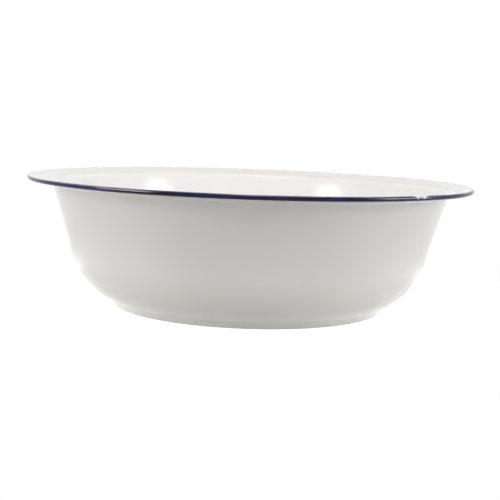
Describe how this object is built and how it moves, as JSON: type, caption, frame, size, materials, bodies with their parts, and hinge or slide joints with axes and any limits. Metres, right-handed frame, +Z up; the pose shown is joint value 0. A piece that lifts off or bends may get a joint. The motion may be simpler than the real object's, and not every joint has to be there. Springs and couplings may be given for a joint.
{
  "type": "enamel basin bowl",
  "caption": "Round enamelled steel wash basin, white inside and out, with a navy rolled rim, a narrow flange, a flared wall and a low stepped foot.",
  "frame": {"origin": "on the surface the bowl stands on, on the bowl's own axis, in the middle of the foot ring", "axes": "+Z up along the bowl's axis, out of the open side; X and Y are any two level directions, because the bowl is round"},
  "size_m": [0.3599, 0.36, 0.1035],
  "materials": {
    "steel": "plain cold-rolled sheet, all of it under enamel",
    "ground_enamel": "thin dark glass coat fused to the steel",
    "white_enamel": "glossy white vitreous enamel",
    "navy_enamel": "glossy navy vitreous enamel"
  },
  "bodies": {
    "root": {"steel_bowl": "steel", "ground_enamel": "ground_enamel", "inner_white_enamel": "white_enamel", "outer_white_enamel": "white_enamel", "navy_rim_enamel": "navy_enamel"}
  },
  "joints": []
}
